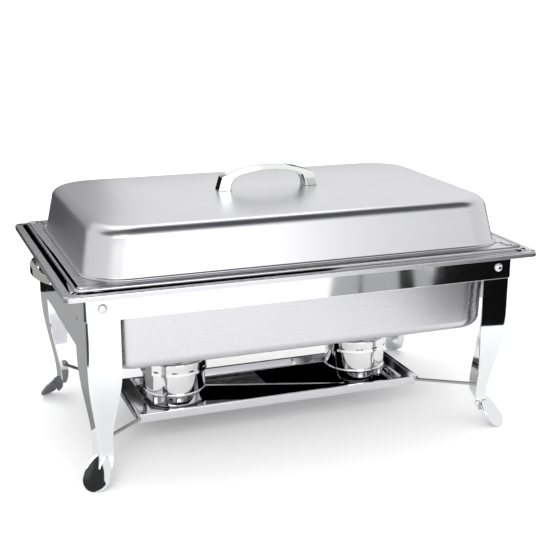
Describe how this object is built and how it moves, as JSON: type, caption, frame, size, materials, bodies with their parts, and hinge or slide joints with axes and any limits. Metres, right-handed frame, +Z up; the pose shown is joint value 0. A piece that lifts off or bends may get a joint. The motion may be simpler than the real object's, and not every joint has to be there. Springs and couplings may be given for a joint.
{
  "type": "chafing dish food warmer",
  "caption": "Rectangular chafing dish with a satin lid, food and water pans, folding cabriole-leg frame, and a fuel tray hung on wire bails with lidded fuel holders.",
  "frame": {"origin": "centre of the footprint on the table", "axes": "+X along the long side to the right, -Y to the front, +Z up"},
  "size_m": [0.569, 0.354, 0.3183],
  "materials": {
    "mirror_steel": "mirror-polished stainless steel sheet",
    "satin_steel": "satin brushed stainless steel sheet",
    "satin_lid": "fine satin stainless steel, drawn in one piece",
    "cast_chrome": "polished chrome-plated zinc casting",
    "rivet_steel": "bright steel rivets, washers and screws",
    "wire_steel": "drawn stainless steel wire",
    "tray_steel": "polished stainless steel sheet",
    "holder_steel": "polished stainless steel cup and collar",
    "tin": "plain tinplate fuel can",
    "wick": "woven glass-fibre wick"
  },
  "bodies": {
    "frame": {"frame_skirt": "mirror_steel", "pivot_rivets": "rivet_steel", "pivot_washers": "rivet_steel", "left_end_handle": "cast_chrome", "right_end_handle": "cast_chrome", "end_handle_rivets": "rivet_steel"},
    "left_legs": {"left_end_panel": "mirror_steel", "left_front_leg": "mirror_steel", "left_rear_leg": "mirror_steel", "left_wire_eyes": "rivet_steel"},
    "right_legs": {"right_end_panel": "mirror_steel", "right_front_leg": "mirror_steel", "right_rear_leg": "mirror_steel", "right_wire_eyes": "rivet_steel"},
    "tray": {"fuel_tray": "tray_steel"},
    "left_bail": {"left_bail": "wire_steel"},
    "right_bail": {"right_bail": "wire_steel"},
    "left_holder": {"left_holder_cup": "holder_steel", "left_holder_collar": "holder_steel", "left_cover_rivet": "rivet_steel", "left_fuel_can": "tin", "left_wick": "wick"},
    "right_holder": {"right_holder_cup": "holder_steel", "right_holder_collar": "holder_steel", "right_cover_rivet": "rivet_steel", "right_fuel_can": "tin", "right_wick": "wick"},
    "left_cover": {"left_swivel_cover": "holder_steel", "left_cover_knob": "holder_steel"},
    "right_cover": {"right_swivel_cover": "holder_steel", "right_cover_knob": "holder_steel"},
    "water_pan": {"water_pan": "satin_steel"},
    "food_pan": {"food_pan": "satin_steel"},
    "lid": {"lid": "satin_lid", "lid_handle": "cast_chrome", "lid_handle_screws": "rivet_steel"}
  },
  "joints": [
    {"name": "left_legs_fold", "type": "hinge", "parent": "frame", "child": "left_legs", "pos_m": [-0.236, 0, 0.206], "axis": [0, -1, 0], "range_deg": [0, 84]},
    {"name": "right_legs_fold", "type": "hinge", "parent": "frame", "child": "right_legs", "pos_m": [0.236, 0, 0.206], "axis": [0, 1, 0], "range_deg": [0, 85]},
    {"name": "tray_lift", "type": "slide", "parent": "frame", "child": "tray", "axis": [0, 0, 1], "range_m": [0, 0.34]},
    {"name": "left_bail_swing", "type": "hinge", "parent": "tray", "child": "left_bail", "pos_m": [-0.1805, 0, 0.04], "axis": [0, 1, 0], "range_deg": [0, 153.2]},
    {"name": "right_bail_swing", "type": "hinge", "parent": "tray", "child": "right_bail", "pos_m": [0.1805, 0, 0.04], "axis": [0, -1, 0], "range_deg": [0, 153.2]},
    {"name": "left_holder_lift", "type": "slide", "parent": "tray", "child": "left_holder", "axis": [0, 0, 1], "range_m": [0, 0.0524]},
    {"name": "right_holder_lift", "type": "slide", "parent": "tray", "child": "right_holder", "axis": [0, 0, 1], "range_m": [0, 0.0524]},
    {"name": "left_cover_swing", "type": "hinge", "parent": "left_holder", "child": "left_cover", "pos_m": [-0.121, 0.0315, 0.0905], "axis": [0, 0, 1], "range_deg": [-120, 120]},
    {"name": "right_cover_swing", "type": "hinge", "parent": "right_holder", "child": "right_cover", "pos_m": [0.121, 0.0315, 0.0905], "axis": [0, 0, 1], "range_deg": [-120, 120]},
    {"name": "water_pan_lift", "type": "slide", "parent": "frame", "child": "water_pan", "axis": [0, 0, 1], "range_m": [0, 0.4156]},
    {"name": "food_pan_lift", "type": "slide", "parent": "water_pan", "child": "food_pan", "axis": [0, 0, 1], "range_m": [0, 0.12]},
    {"name": "lid_lift", "type": "slide", "parent": "food_pan", "child": "lid", "axis": [0, 0, 1], "range_m": [0, 0.25]}
  ],
  "couplings": [
    {"joint": "right_legs_fold", "follows": "left_legs_fold", "ratio": 1},
    {"joint": "tray_lift", "follows": "left_legs_fold", "m_per_rad": 0.22918},
    {"joint": "left_bail_swing", "follows": "left_legs_fold", "ratio": 1.8},
    {"joint": "right_bail_swing", "follows": "left_legs_fold", "ratio": 1.8},
    {"joint": "left_holder_lift", "follows": "left_legs_fold", "m_per_rad": 0.034377},
    {"joint": "right_holder_lift", "follows": "left_legs_fold", "m_per_rad": 0.034377},
    {"joint": "water_pan_lift", "follows": "left_legs_fold", "m_per_rad": 0.28075}
  ]
}
